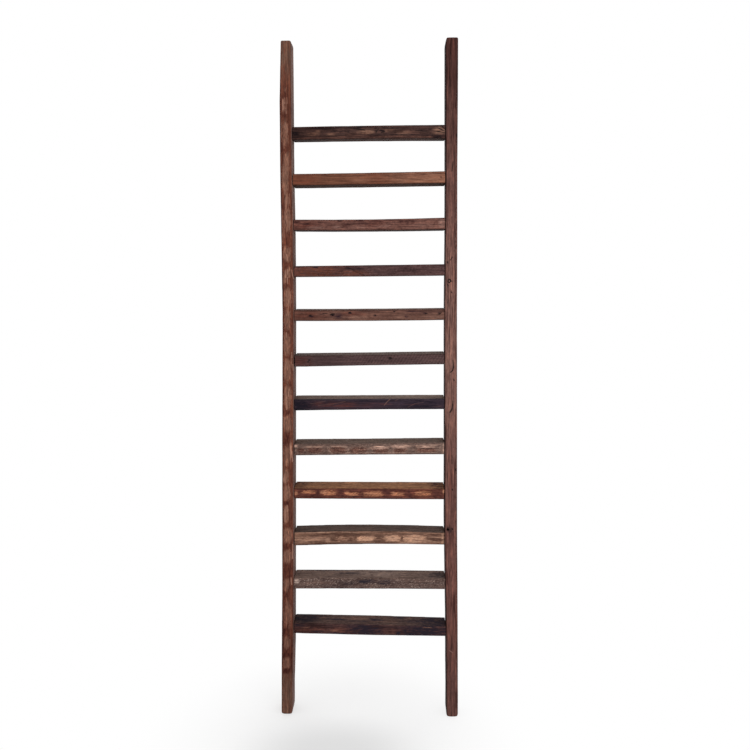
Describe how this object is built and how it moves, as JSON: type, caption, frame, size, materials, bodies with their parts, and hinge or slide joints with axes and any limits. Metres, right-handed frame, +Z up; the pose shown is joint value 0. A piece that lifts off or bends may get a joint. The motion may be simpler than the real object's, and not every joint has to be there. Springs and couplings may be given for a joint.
{
  "type": "teak ladder",
  "caption": "Leaning decorative ladder of reclaimed teak with flat tenoned rungs between two hand-dressed rails, for hanging towels, throws or magazines.",
  "frame": {"origin": "on the floor, in the middle of the ladder's width and of its depth", "axes": "+Z up along the rails, +X to the right as seen from the front, -Y to the front"},
  "size_m": [0.528, 0.058, 2.004],
  "materials": {
    "rail_left": "adze-dressed old teak, tan hollows in a red-brown skin, matt",
    "rail_right": "sawn old teak, purple-brown with fine dark grain, matt",
    "rung_01": "near-black old teak, reddish at one end, matt",
    "rung_02": "rough-sawn grey-brown teak with pale flecks, matt",
    "rung_03": "tan old teak with dressed hollows, satin",
    "rung_04": "dark red-brown teak with bright orange hollows, satin",
    "rung_05": "weathered grey-brown teak with dark red hollows, matt",
    "rung_06": "almost black teak with a reddish streak, matt",
    "rung_07": "dark purple-brown teak with slanting saw marks, matt",
    "rung_08": "brown teak with dark nail holes and stains, satin",
    "rung_09": "reddish teak turning purple-grey to the right, satin",
    "rung_10": "brown teak with dark streaks, satin",
    "rung_11": "smooth orange-brown teak, satin",
    "rung_12": "dark brown teak with cracks, satin",
    "plugs": "end-grain teak plugs, sanded flush, satin",
    "screws": "zinc-plated steel"
  },
  "bodies": {
    "root": {"rail_left": "rail_left", "rail_right": "rail_right", "rung_01": "rung_01", "rung_02": "rung_02", "rung_03": "rung_03", "rung_04": "rung_04", "rung_05": "rung_05", "rung_06": "rung_06", "rung_07": "rung_07", "rung_08": "rung_08", "rung_09": "rung_09", "rung_10": "rung_10", "rung_11": "rung_11", "rung_12": "rung_12", "plugs_left": "plugs", "plugs_right": "plugs", "screws_left": "screws", "screws_right": "screws"}
  },
  "joints": []
}
